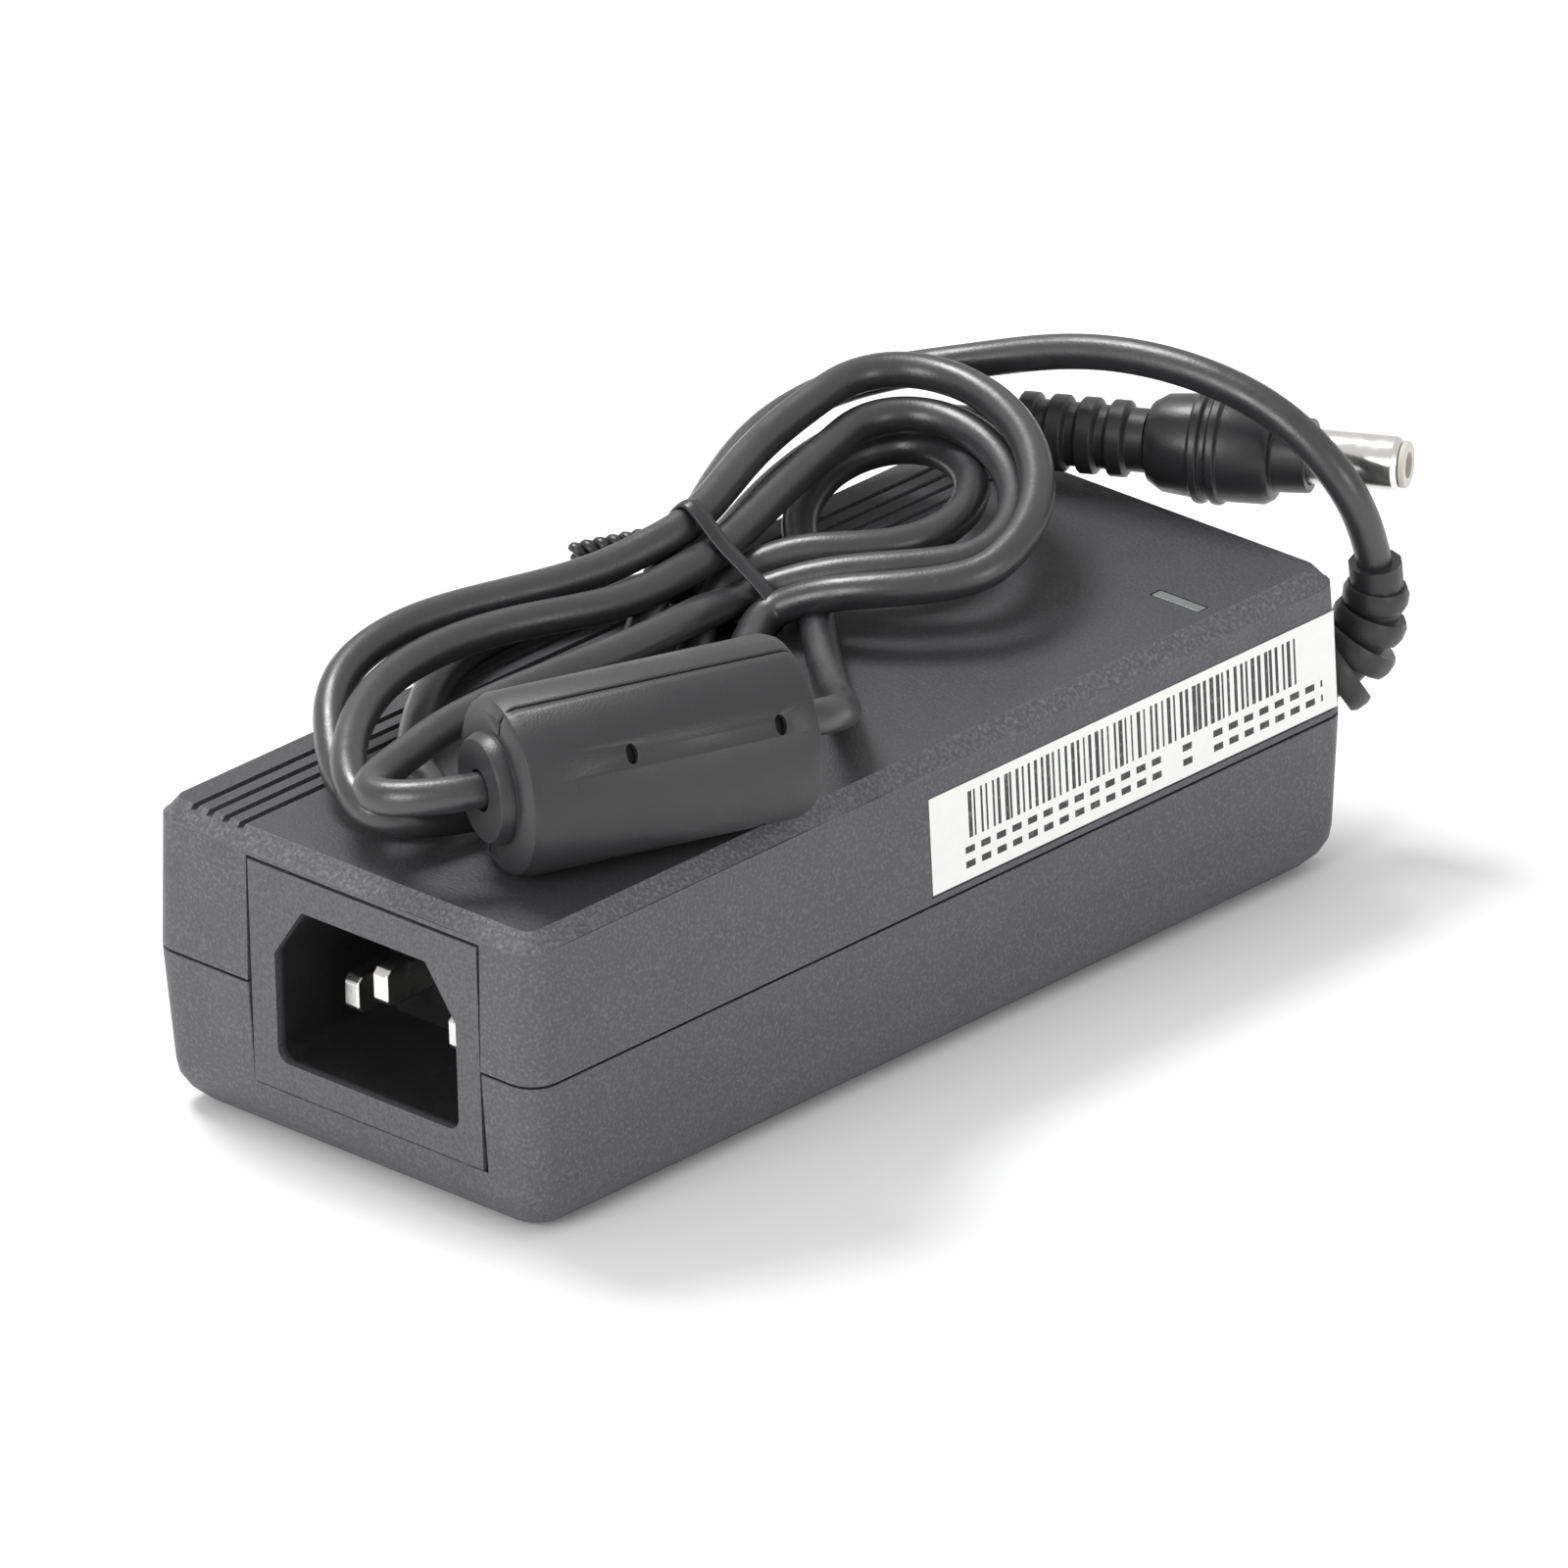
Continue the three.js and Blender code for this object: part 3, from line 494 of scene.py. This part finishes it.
# Where the seven strands pass through the tie, in millimetres: x and z in the tie's plane.
TIE_Y = 8
STRANDS = {"lead": (-17.2, 38.2), "inner": (-13.4, 34.8), "middle": (-9.8, 34.8), "back": (-12.4, 39.3),
           "outer": (-6.0, 34.8), "top": (-15.4, 41.7), "end": (-17.0, 34.8)}


def strand(name):
    x, z = STRANDS[name]
    return (x, TIE_Y, z)


def ellipse(centre, long, wide, turn, sweep, heights, count=14):
    """Points of one turn: an arc of an ellipse whose long axis points `turn` degrees from +X."""
    turn = math.radians(turn)
    axis = Vector((math.cos(turn), math.sin(turn)))
    side = Vector((-axis.y, axis.x))
    points = []
    for index in range(count):
        part = index / (count - 1)
        angle = math.radians(sweep[0] + (sweep[1] - sweep[0]) * part)
        place = Vector(centre) + long * math.cos(angle) * axis + wide * math.sin(angle) * side
        spot = part * (len(heights) - 1)
        step = min(int(spot), len(heights) - 2)
        height = heights[step] + (heights[step + 1] - heights[step]) * (spot - step)
        points.append((place.x, place.y, height))
    return points


# The stretches given as points, in millimetres. The two lobes are the turns in front of the tie.
LEAD_ROUTE = [(22.3, 65.2, 28.9), (22.5, 63.8, 33.4), (21.9, 61.8, 38.2), (17.8, 60.6, 42.6),
              (12.4, 59.4, 45.6), (4.0, 57.4, 47.4), (-5.4, 55.4, 47.0), (-13.0, 53.2, 45.2),
              (-19.5, 50.4, 43.2), (-25.4, 46.0, 42.0), (-28.0, 38.0, 41.4), (-26.4, 27.5, 40.8),
              (-21.4, 16.4, 39.5), strand("lead")]
HIDDEN_FOLD = [(-15.6, 3.4, 37.6), (-12.2, -1.6, 36.2), (-9.4, -6.4, 34.8), (-8.6, -12.0, 34.3),
               (-6.4, -16.6, 34.3), (-2.4, -17.4, 34.3), (0.4, -13.6, 34.3), (-0.8, -8.2, 34.3),
               (-4.6, -3.2, 34.3), (-9.4, 2.6, 34.4), strand("inner")]
TAIL_ROUTE = [(-2.5, 12.0, 34.3), (2.6, 7.2, 34.3), (8.0, 2.6, 34.3), (13.7, -2.0, 35.0),
              (18.6, -6.2, 37.0), (22.4, -10.2, 39.4), (24.4, -14.2, 41.0), (24.3, -17.2, 41.6),
              (23.7, -19.0, 41.6), (18.0, -33.4, 41.6), (12.3, -47.8, 41.6)]
LOOP_ROUTE = [(11.0, -50.6, 41.6), (8.6, -53.4, 41.4), (5.4, -55.4, 41.0), (2.0, -54.8, 40.5),
              (0.2, -51.6, 40.4), (-0.8, -47.6, 40.4), (-1.8, -43.0, 40.6), (-2.4, -38.0, 40.8),
              (-2.8, -31.0, 40.6), (-3.0, -24.0, 40.2), (-3.5, -16.0, 39.4), (-4.6, -7.3, 38.6),
              (-6.4, 0.0, 37.8), strand("middle")]
BACK_LOBE = [(-12.2, 2.5, 39.1), (-11.8, -4.0, 38.9), (-12.6, -10.5, 39.6), (-14.4, -17.0, 40.2),
             (-15.8, -23.5, 40.4), (-15.8, -31.0, 40.4), (-13.6, -38.7, 40.2), (-9.0, -46.2, 39.5),
             (-4.2, -51.2, 38.6), (0.0, -53.2, 37.4), (2.8, -50.6, 36.1), (3.8, -46.0, 35.2),
             (5.4, -40.0, 34.4), (6.0, -33.0, 34.3), (5.6, -25.0, 34.3), (4.6, -14.0, 34.3),
             (1.6, -5.0, 34.3), (-2.4, 2.4, 34.6), strand("outer")]
TOP_LOBE = [(-16.0, 3.0, 41.1), (-16.6, -3.0, 40.3), (-18.0, -11.2, 40.6), (-20.0, -20.3, 41.2),
            (-21.1, -28.1, 41.2), (-20.1, -35.4, 40.2), (-17.7, -39.7, 39.0), (-15.2, -42.4, 37.6),
            (-11.8, -45.4, 36.0), (-7.6, -47.8, 34.9), (-3.4, -48.2, 34.4), (-0.4, -45.6, 34.3),
            (-1.2, -42.0, 34.3), (-4.4, -40.2, 34.3), (-7.8, -38.6, 34.3), (-11.8, -34.6, 34.3),
            (-15.8, -29.6, 34.3), (-19.5, -24.3, 34.3), (-21.8, -19.4, 34.3), (-23.2, -14.0, 34.3),
            (-23.3, -6.0, 34.3), (-20.6, 2.0, 34.4), strand("end")]
END_ROUTE = [(-19.6, 13.4, 34.4), (-21.6, 19.4, 34.4), (-24.2, 27.0, 35.4), (-25.4, 36.0, 36.8),
             (-24.6, 43.0, 37.2), (-22.0, 47.6, 37.2), (-18.4, 50.4, 37.0), (-13.7, 52.7, 37.0)]


# The turns behind the tie: centre, half length, half width, slant, sweep, and heights along the sweep.
INNER_TURN = ((-11.2, 31.0), 12.8, 8.6, 127, (-160, 118), (38.2, 38.2, 38.2, 38.0, 37.7, 37.0, 35.8, 34.5))
MIDDLE_TURN = ((-6.6, 31.2), 14.5, 9.2, 144, (-168, 46),
               (38.2, 38.8, 39.4, 40.2, 41.0, 41.5, 41.7, 41.6, 41.3))
OUTER_TURN = ((-6.0, 30.4), 18.8, 11.4, 144, (-172, 40),
              (38.8, 40.2, 41.8, 43.2, 44.2, 44.8, 45.1, 45.0, 44.8))


def cord_route():
    """The whole centre line: the turns behind the tie by formula, and all else as lists of points."""
    inner = [(-11.4, 12.0, 36.8), (-8.2, 16.0, 38.2), (-4.8, 18.8, 38.3)]
    inner += ellipse(*INNER_TURN)
    middle = [(-7.2, 11.4, 36.2), (-4.0, 14.6, 37.3), (-0.4, 17.6, 37.9)]
    middle += ellipse(*MIDDLE_TURN)
    middle += [(-16.6, 24.0, 41.0), (-14.2, 16.0, 40.3), strand("back")]
    outer = [(-2.8, 10.0, 36.6), (0.6, 11.8, 37.8), (4.8, 14.6, 38.4)]
    outer += ellipse(*OUTER_TURN)
    outer += [(-21.4, 24.5, 43.4), (-18.2, 16.0, 42.7), strand("top")]
    points = (LEAD_ROUTE + HIDDEN_FOLD + inner + TAIL_ROUTE + LOOP_ROUTE + middle + BACK_LOBE + outer
              + TOP_LOBE + END_ROUTE)
    return [Vector(point) * MM for point in points]


def smooth_curve(points, steps=8, closed=False):
    """A centripetal Catmull-Rom curve through the points."""
    if closed:
        points = [points[-1]] + points + points[:2]
    else:
        points = [2 * points[0] - points[1]] + points + [2 * points[-1] - points[-2]]
    curve = []
    for a, b, c, d in zip(points, points[1:], points[2:], points[3:]):
        ta = 0.0
        tb = ta + math.sqrt((b - a).length)
        tc = tb + math.sqrt((c - b).length)
        td = tc + math.sqrt((d - c).length)
        for step in range(steps):
            t = tb + (tc - tb) * step / steps
            ab = a.lerp(b, (t - ta) / (tb - ta))
            bc = b.lerp(c, (t - tb) / (tc - tb))
            cd = c.lerp(d, (t - tc) / (td - tc))
            abc = ab.lerp(bc, (t - ta) / (tc - ta))
            bcd = bc.lerp(cd, (t - tb) / (td - tb))
            curve.append(abc.lerp(bcd, (t - tb) / (tc - tb)))
    if not closed:
        curve.append(points[-2])
    return curve


def eased(path, rounds):
    """The path with its sharpest bends eased; its two ends stay."""
    for _ in range(rounds):
        triples = zip(path, path[1:], path[2:])
        averages = [(before + 2 * here + after) / 4 for before, here, after in triples]
        path = [path[0], *averages, path[-1]]
    return path


def make_cord():
    path = eased(smooth_curve(cord_route()), EASING)
    data = bpy.data.curves.new("output_cord", "CURVE")
    data.dimensions = "3D"
    data.bevel_depth = CORD_DIAMETER / 2
    data.bevel_resolution = 5
    data.use_fill_caps = True
    spline = data.splines.new("POLY")
    spline.points.add(len(path) - 1)
    for point, place in zip(spline.points, path):
        point.co = (*place, 1)
    spline.use_smooth = True
    data.materials.append(cord_jacket())
    cord = bpy.data.objects.new("output_cord", data)
    bpy.context.scene.collection.objects.link(cord)
    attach(cord, "root")
    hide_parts("cord_lead", "cord_bundle", "cord_loop", "cord_tail", "cord_end")
    return cord


# ------------------------------------------------------------------ tie
TIE_BAND = {"width": 2.0, "thick": 0.55, "sway": 0.25, "sway_step": 0.21}
TIE_LOOP = [(-3.9, 34.9), (-4.8, 36.6), (-7.9, 38.8), (-11.1, 41.0), (-14.0, 43.4), (-15.5, 43.9),
            (-17.2, 42.8), (-19.0, 39.3), (-19.4, 38.0), (-19.2, 34.7), (-18.5, 33.2), (-17.0, 32.7),
            (-11.5, 32.7), (-6.0, 32.7), (-4.4, 33.3)]
TIE_TWIST = {"start": (-19.8, 7.8, 39.2), "end": (-25.4, 1.8, 37.8), "radius": 0.6, "wire": 0.66,
             "turns": 3.2, "steps": 60}


def swept(path, sides, closed):
    """A mesh swept along a path; sides(index) gives the section's points around the path there."""
    work = bmesh.new()
    rings = [[work.verts.new(point) for point in sides(index)] for index in range(len(path))]
    count = len(rings[0])
    pairs = zip(rings, rings[1:] + rings[:1] if closed else rings[1:])
    for ring, following in pairs:
        for k in range(count):
            work.faces.new((ring[k], ring[(k + 1) % count], following[(k + 1) % count], following[k]))
    if not closed:
        work.faces.new(list(reversed(rings[0])))
        work.faces.new(rings[-1])
    bmesh.ops.recalc_face_normals(work, faces=work.faces)
    for face in work.faces:
        face.smooth = True
    return work


def tie_band():
    """The flat band around the strands, with rounded edges and a wire's ridge along its middle."""
    loop = smooth_curve([Vector((x, 0, z)) * MM for x, z in TIE_LOOP], 6, closed=True)
    half = TIE_BAND["width"] * MM / 2
    thick = TIE_BAND["thick"] * MM / 2
    profile = [(-1.0, 0.0), (-0.85, 0.75), (-0.45, 0.8), (-0.25, 1.25), (0.25, 1.25), (0.45, 0.8),
               (0.85, 0.75), (1.0, 0.0), (0.85, -0.8), (0.0, -1.0), (-0.85, -0.8)]

    def section(index):
        along = (loop[(index + 1) % len(loop)] - loop[index - 1]).normalized()
        outward = Vector((along.z, 0, -along.x))
        sway = TIE_BAND["sway"] * MM * math.sin(index * TIE_BAND["sway_step"])
        centre = loop[index] + Vector((0, TIE_Y * MM + sway, 0))
        return [centre + Vector((0, side * half, 0)) + outward * (rise * thick) for side, rise in profile]

    return swept(loop, section, closed=True)


def tie_twist(phase):
    """One of the two ends, wound around the other."""
    start = Vector(TIE_TWIST["start"]) * MM
    end = Vector(TIE_TWIST["end"]) * MM
    axis = (end - start).normalized()
    side = axis.orthogonal().normalized()
    other = axis.cross(side)
    steps = TIE_TWIST["steps"]
    path = []
    for step in range(steps + 1):
        part = step / steps
        angle = phase + part * TIE_TWIST["turns"] * math.tau
        reach = TIE_TWIST["radius"] * MM * min(1.0, 0.35 + 3 * part)
        path.append(start.lerp(end, part) + reach * (math.cos(angle) * side + math.sin(angle) * other))
    radius = TIE_TWIST["wire"] * MM

    def section(index):
        before = path[max(index - 1, 0)]
        after = path[min(index + 1, steps)]
        along = (after - before).normalized()
        u = along.cross(Vector((0, 0, 1))).normalized()
        v = along.cross(u)
        angles = [k * math.tau / 8 for k in range(8)]
        return [path[index] + radius * (math.cos(a) * u + 0.75 * math.sin(a) * v) for a in angles]

    return swept(path, section, closed=False)


def make_tie():
    mesh = bpy.data.meshes.new("wire_tie")
    whole = bmesh.new()
    for part in (tie_band(), tie_twist(0.0), tie_twist(math.pi)):
        scratch = bpy.data.meshes.new("scratch")
        part.to_mesh(scratch)
        part.free()
        whole.from_mesh(scratch)
        bpy.data.meshes.remove(scratch)
    whole.to_mesh(mesh)
    whole.free()
    material = moulding("tie_plastic_finish", (0.020, 0.020, 0.022), 0.34, 0.3 * MM, 0.012 * MM)
    tie = add_piece("wire_tie", mesh, material)
    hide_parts("cord_tie")
    return tie


# ------------------------------------------------------------------ the ferrite's moulding
FERRITE = {"start": (12.3, -47.8, 41.6), "yaw": 21.5, "length": 31, "radius": 9.1, "boss": 5.6}
# The moulding's two halves meet along these lines, in degrees around its axis from straight up.
FERRITE_SEAMS = (13, 193)
FERRITE_SEAM = {"width": 0.26, "depth": 0.36}
# Ejector holes: how far along the moulding, and how far around it, in degrees. FERRITE_HOLE is half a hole.
FERRITE_HOLES = ((11.0, 61), (26.6, 63), (9.8, 150), (25.6, 150), (10.5, -35), (26.0, -35))
FERRITE_HOLE = {"along": 0.6, "across": 1.0, "depth": 1.5}


def ferrite_cutters():
    """The bodies that cut the seams and holes of the ferrite's moulding."""
    yaw = math.radians(FERRITE["yaw"])
    axis = Vector((math.sin(yaw), math.cos(yaw), 0))
    side = axis.cross(Vector((0, 0, 1)))

    def placed(along, around, reach, size):
        """A unit body's matrix: its size, and its place along, around and out from the moulding's axis."""
        angle = math.radians(around)
        outward = Vector((0, 0, math.cos(angle))) + math.sin(angle) * side
        turn = Matrix((axis.cross(outward), axis, outward)).transposed().to_4x4()
        place = Vector(FERRITE["start"]) * MM + (along * axis + reach * outward) * MM
        return Matrix.Translation(place) @ turn @ Matrix.Diagonal((*[value * MM for value in size], 1))

    work = bmesh.new()
    length = FERRITE["length"]
    radius = FERRITE["radius"]
    width = FERRITE_SEAM["width"]
    depth = FERRITE_SEAM["depth"]
    face_middle = (radius + FERRITE["boss"]) / 2
    face_reach = radius - FERRITE["boss"] - 0.8
    for around in FERRITE_SEAMS:
        seams = [placed(length / 2, around, radius, (width, length, 2 * depth))]
        seams += [placed(end, around, face_middle, (width, 2 * depth, face_reach)) for end in (0, length)]
        for seam in seams:
            bmesh.ops.create_cube(work, size=1, matrix=seam)
    for along, around in FERRITE_HOLES:
        size = (FERRITE_HOLE["across"], FERRITE_HOLE["along"], FERRITE_HOLE["depth"])
        hole = placed(along, around, radius, size)
        bmesh.ops.create_cone(work, cap_ends=True, segments=24, radius1=1, radius2=1, depth=2, matrix=hole)
    mesh = bpy.data.meshes.new("cutters")
    work.to_mesh(mesh)
    work.free()
    return mesh


# ------------------------------------------------------------------ the whole
# The nodes inside the case and the ferrite core, by the material slot they take.
INNER_NODES = {
    "black_film": ("insulation_sheet",),
    "fibreglass": ("circuit_board",),
    "black_moulding": ("bridge_rectifier", "switching_transistor", "output_rectifier", "optocoupler",
                       "control_chip", "mains_fuse"),
    "can_sleeve": ("bulk_capacitor", "output_capacitor_left", "output_capacitor_right"),
    "yellow_tape": ("transformer_winding", "x_capacitor"),
    "blue_ceramic": ("y_capacitor",),
    "ferrite": ("transformer_core", "choke_core", "ferrite_core"),
    "copper_wire": ("choke_winding", "output_choke"),
    "aluminium": ("primary_heat_sink", "secondary_heat_sink"),
}
WIRE_COLOURS = {
    "line_wire": (0.16, 0.06, 0.03),
    "neutral_wire": (0.03, 0.08, 0.30),
    "earth_wire": (0.10, 0.28, 0.05),
    "output_wire_positive": (0.40, 0.03, 0.03),
    "output_wire_negative": (0.03, 0.03, 0.03),
}


def inner_materials():
    return {
        "black_film": moulding("black_film_finish", (0.03, 0.03, 0.03), 0.35, 0.5 * MM, 0.01 * MM),
        "fibreglass": fibreglass(),
        "black_moulding": moulding("package_finish", (0.02, 0.02, 0.02), 0.5, 0.15 * MM, 0.01 * MM),
        "can_sleeve": moulding("can_sleeve_finish", (0.03, 0.035, 0.06), 0.3, 0.6 * MM, 0.01 * MM),
        "yellow_tape": wound_wire("yellow_tape_finish", (0.65, 0.45, 0.05)),
        "blue_ceramic": moulding("blue_ceramic_finish", (0.04, 0.11, 0.38), 0.35, 0.4 * MM, 0.03 * MM),
        "ferrite": moulding("ferrite_finish", (0.045, 0.045, 0.047), 0.8, 0.2 * MM, 0.03 * MM),
        "copper_wire": wound_wire("copper_wire_finish", (0.60, 0.24, 0.10)),
        "aluminium": metal("aluminium_finish", (0.62, 0.63, 0.65), 0.4, lines=True),
    }


def make_inside():
    materials = inner_materials()
    for slot, nodes in INNER_NODES.items():
        for node in nodes:
            finish_node(node, materials[slot])
    for node, colour in WIRE_COLOURS.items():
        finish_node(node, moulding(node + "_finish", colour, 0.4, 0.4 * MM, 0.01 * MM))


def make_case(nickel):
    shell = shell_plastic()
    for node in ("lower_shell", "upper_shell"):
        refined(node, shell, 0.16 * MM)
    socket = inlet_moulding(*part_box("inlet_housing"))
    refined("inlet_housing", socket, 0.2 * MM)
    for node in ("line_pin", "neutral_pin", "earth_pin"):
        refined(node, nickel, 0.25 * MM, segments=3)
    refined("side_label", label_print(*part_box("side_label")), 0)
    refined("rating_label", rating_print(*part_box("rating_label")), 0)
    clear = clear_plastic()
    refined("light_pipe", clear, 0.1 * MM)
    finish_node("indicator_lamp", clear)


def make_fittings(nickel):
    """What is on the cord: the boots, the ferrite's moulding and the plug."""
    rubber = moulding("boot_finish", (0.024, 0.024, 0.026), 0.42, 0.22 * MM, 0.02 * MM, wear=0.2)
    cover = moulding("ferrite_plastic_finish", (0.026, 0.026, 0.028), 0.42, 0.28 * MM, 0.03 * MM, wear=0.3)
    plug = moulding("plug_moulding_finish", (0.022, 0.022, 0.024), 0.36, 0.3 * MM, 0.014 * MM, wear=0.2)
    ring = moulding("plug_insulation_finish", (0.55, 0.53, 0.48), 0.4, 0.2 * MM, 0.01 * MM)
    tin = metal("tin_plate_finish", (0.66, 0.66, 0.66), 0.32)
    return [
        refined("strain_relief", rubber, 0.12 * MM),
        refined("ferrite_cover", cover, 0.07 * MM, cutters=ferrite_cutters()),
        refined("plug_strain_relief", rubber, 0.12 * MM),
        refined("plug_body", plug, 0.15 * MM),
        refined("plug_barrel", nickel, 0.1 * MM),
        refined("plug_insulator", ring, 0.1 * MM),
        refined("plug_contact", tin, 0),
    ]


make_camera()
make_studio()
cord = make_cord()
make_inside()
nickel_plate = metal("nickel_plate_finish", (0.80, 0.79, 0.77), 0.2, lines=True)
make_case(nickel_plate)
fittings = make_fittings(nickel_plate)
tie = make_tie()
